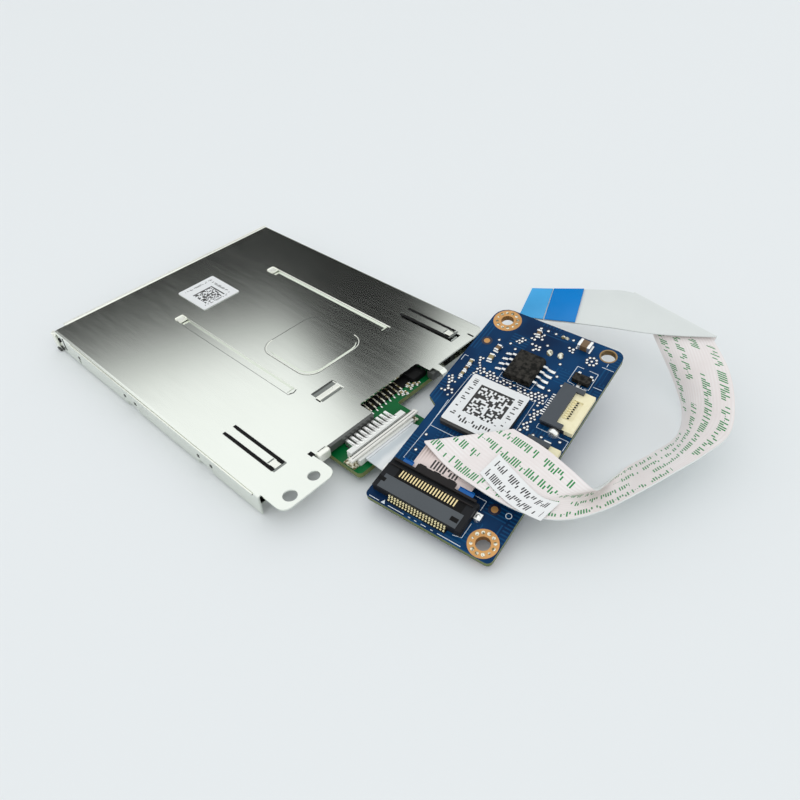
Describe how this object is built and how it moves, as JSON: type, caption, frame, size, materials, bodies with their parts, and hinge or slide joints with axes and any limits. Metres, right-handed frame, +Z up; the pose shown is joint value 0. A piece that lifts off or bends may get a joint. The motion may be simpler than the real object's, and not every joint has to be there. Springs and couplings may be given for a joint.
{
  "type": "smart card reader",
  "caption": "Sheet-metal smart card reader with sprung card contacts, joined by a short flat cable to a small control board with a long folded flat cable that ends free.",
  "frame": {"origin": "centre of the sheet-metal reader's underside, on the surface that the reader rests on", "axes": "+X the way a card goes in, from the open end towards the cable socket; +Y across the card; +Z up, away from the surface it rests on"},
  "size_m": [0.1167, 0.0739, 0.0127],
  "materials": {
    "cage_steel": "satin plated sheet steel",
    "label_paper": "matt white label",
    "black_plastic": "moulded black plastic",
    "contact_gold": "thin gold plating",
    "switch_spring": "plain spring strip",
    "reader_board_green": "green solder mask",
    "tin": "tinned metal",
    "white_plastic": "moulded white plastic",
    "pearl_plastic": "smooth off-white plastic",
    "cream_plastic": "moulded cream plastic",
    "grey_plastic": "moulded dark grey plastic",
    "cable_film": "laminated film",
    "blue_film": "azure stiffener film",
    "blue_board": "deep blue solder mask",
    "chip_plastic": "moulded chip package",
    "capacitor_ceramic": "brown ceramic"
  },
  "bodies": {
    "reader": {"cage_cover": "cage_steel", "cage_base": "cage_steel", "cage_label": "label_paper", "contact_block": "black_plastic", "card_contact_tails": "tin", "card_switch_post": "black_plastic", "reader_board": "reader_board_green", "reader_board_part_1": "capacitor_ceramic", "reader_board_part_2": "capacitor_ceramic", "reader_socket_housing": "white_plastic", "reader_socket_contacts": "tin", "reader_socket_tab_1": "tin", "reader_socket_tab_2": "tin", "reader_cable": "cable_film", "reader_cable_stiffener_1": "blue_film", "reader_cable_stiffener_2": "blue_film", "under_socket_housing": "white_plastic", "under_socket_contacts": "tin", "control_board": "blue_board", "controller_chip": "chip_plastic", "board_label": "label_paper", "memory_chip": "chip_plastic", "transistor": "chip_plastic", "large_capacitor": "capacitor_ceramic", "small_part_1": "capacitor_ceramic", "small_part_2": "capacitor_ceramic", "small_part_3": "capacitor_ceramic", "small_part_4": "capacitor_ceramic", "host_socket_housing": "black_plastic", "host_socket_contacts": "contact_gold", "host_socket_tails": "contact_gold", "host_socket_tab_1": "tin", "host_socket_tab_2": "tin", "small_socket_1_housing": "cream_plastic", "small_socket_1_contacts": "contact_gold", "small_socket_1_tab_1": "tin", "small_socket_1_tab_2": "tin", "small_socket_2_housing": "cream_plastic", "small_socket_2_contacts": "contact_gold", "small_socket_2_tab_1": "tin", "small_socket_2_tab_2": "tin", "host_cable": "cable_film", "host_cable_plug_stiffener": "blue_film", "host_cable_end_stiffener": "blue_film", "host_cable_pull_tab": "blue_film", "host_cable_label": "label_paper"},
    "contact_arm_1": {"card_contact_1": "contact_gold"},
    "contact_arm_2": {"card_contact_2": "contact_gold"},
    "contact_arm_3": {"card_contact_3": "contact_gold"},
    "contact_arm_4": {"card_contact_4": "contact_gold"},
    "contact_arm_5": {"card_contact_5": "contact_gold"},
    "contact_arm_6": {"card_contact_6": "contact_gold"},
    "contact_arm_7": {"card_contact_7": "contact_gold"},
    "contact_arm_8": {"card_contact_8": "contact_gold"},
    "switch_blade": {"card_switch_blade": "switch_spring"},
    "reader_latch": {"reader_socket_latch": "pearl_plastic"},
    "under_latch": {"under_socket_latch": "pearl_plastic"},
    "host_latch": {"host_socket_latch": "grey_plastic"},
    "small_latch_1": {"small_socket_1_latch": "grey_plastic"},
    "small_latch_2": {"small_socket_2_latch": "grey_plastic"}
  },
  "joints": [
    {"name": "contact_hinge_1", "type": "hinge", "parent": "reader", "child": "contact_arm_1", "pos_m": [0.02405, -0.00071, 0.002], "axis": [0, -1, 0], "range_deg": [0, 7], "stiffness_Nm_per_rad": 0.01},
    {"name": "contact_hinge_2", "type": "hinge", "parent": "reader", "child": "contact_arm_2", "pos_m": [0.02405, 0.00183, 0.002], "axis": [0, -1, 0], "range_deg": [0, 7], "stiffness_Nm_per_rad": 0.01},
    {"name": "contact_hinge_3", "type": "hinge", "parent": "reader", "child": "contact_arm_3", "pos_m": [0.02405, 0.00437, 0.002], "axis": [0, -1, 0], "range_deg": [0, 7], "stiffness_Nm_per_rad": 0.01},
    {"name": "contact_hinge_4", "type": "hinge", "parent": "reader", "child": "contact_arm_4", "pos_m": [0.02405, 0.00691, 0.002], "axis": [0, -1, 0], "range_deg": [0, 7], "stiffness_Nm_per_rad": 0.01},
    {"name": "contact_hinge_5", "type": "hinge", "parent": "reader", "child": "contact_arm_5", "pos_m": [0.01643, -0.00071, 0.002], "axis": [0, -1, 0], "range_deg": [0, 7], "stiffness_Nm_per_rad": 0.01},
    {"name": "contact_hinge_6", "type": "hinge", "parent": "reader", "child": "contact_arm_6", "pos_m": [0.01643, 0.00183, 0.002], "axis": [0, -1, 0], "range_deg": [0, 7], "stiffness_Nm_per_rad": 0.01},
    {"name": "contact_hinge_7", "type": "hinge", "parent": "reader", "child": "contact_arm_7", "pos_m": [0.01643, 0.00437, 0.002], "axis": [0, -1, 0], "range_deg": [0, 7], "stiffness_Nm_per_rad": 0.01},
    {"name": "contact_hinge_8", "type": "hinge", "parent": "reader", "child": "contact_arm_8", "pos_m": [0.01643, 0.00691, 0.002], "axis": [0, -1, 0], "range_deg": [0, 7], "stiffness_Nm_per_rad": 0.01},
    {"name": "switch_hinge", "type": "hinge", "parent": "reader", "child": "switch_blade", "pos_m": [0.028, 0.022, 0.002], "axis": [0, 0, 1], "range_deg": [0, 5], "stiffness_Nm_per_rad": 0.01},
    {"name": "reader_latch_hinge", "type": "hinge", "parent": "reader", "child": "reader_latch", "pos_m": [0.0386, -0.0056, 0.0038], "axis": [0, -1, 0], "range_deg": [0, 90]},
    {"name": "under_latch_hinge", "type": "hinge", "parent": "reader", "child": "under_latch", "pos_m": [0.048, -0.00487, 0.00289], "axis": [0.1239, -0.9767, -0.175], "range_deg": [0, 90]},
    {"name": "host_latch_hinge", "type": "hinge", "parent": "reader", "child": "host_latch", "pos_m": [0.05299, -0.00875, 0.00547], "axis": [0.9888, 0.1363, -0.0611], "range_deg": [0, 90]},
    {"name": "small_latch_hinge_1", "type": "hinge", "parent": "reader", "child": "small_latch_1", "pos_m": [0.06172, 0.01503, 0.00833], "axis": [-0.1239, 0.9767, 0.175], "range_deg": [0, 90]},
    {"name": "small_latch_hinge_2", "type": "hinge", "parent": "reader", "child": "small_latch_2", "pos_m": [0.06321, 0.00331, 0.00623], "axis": [-0.1239, 0.9767, 0.175], "range_deg": [0, 15]}
  ]
}
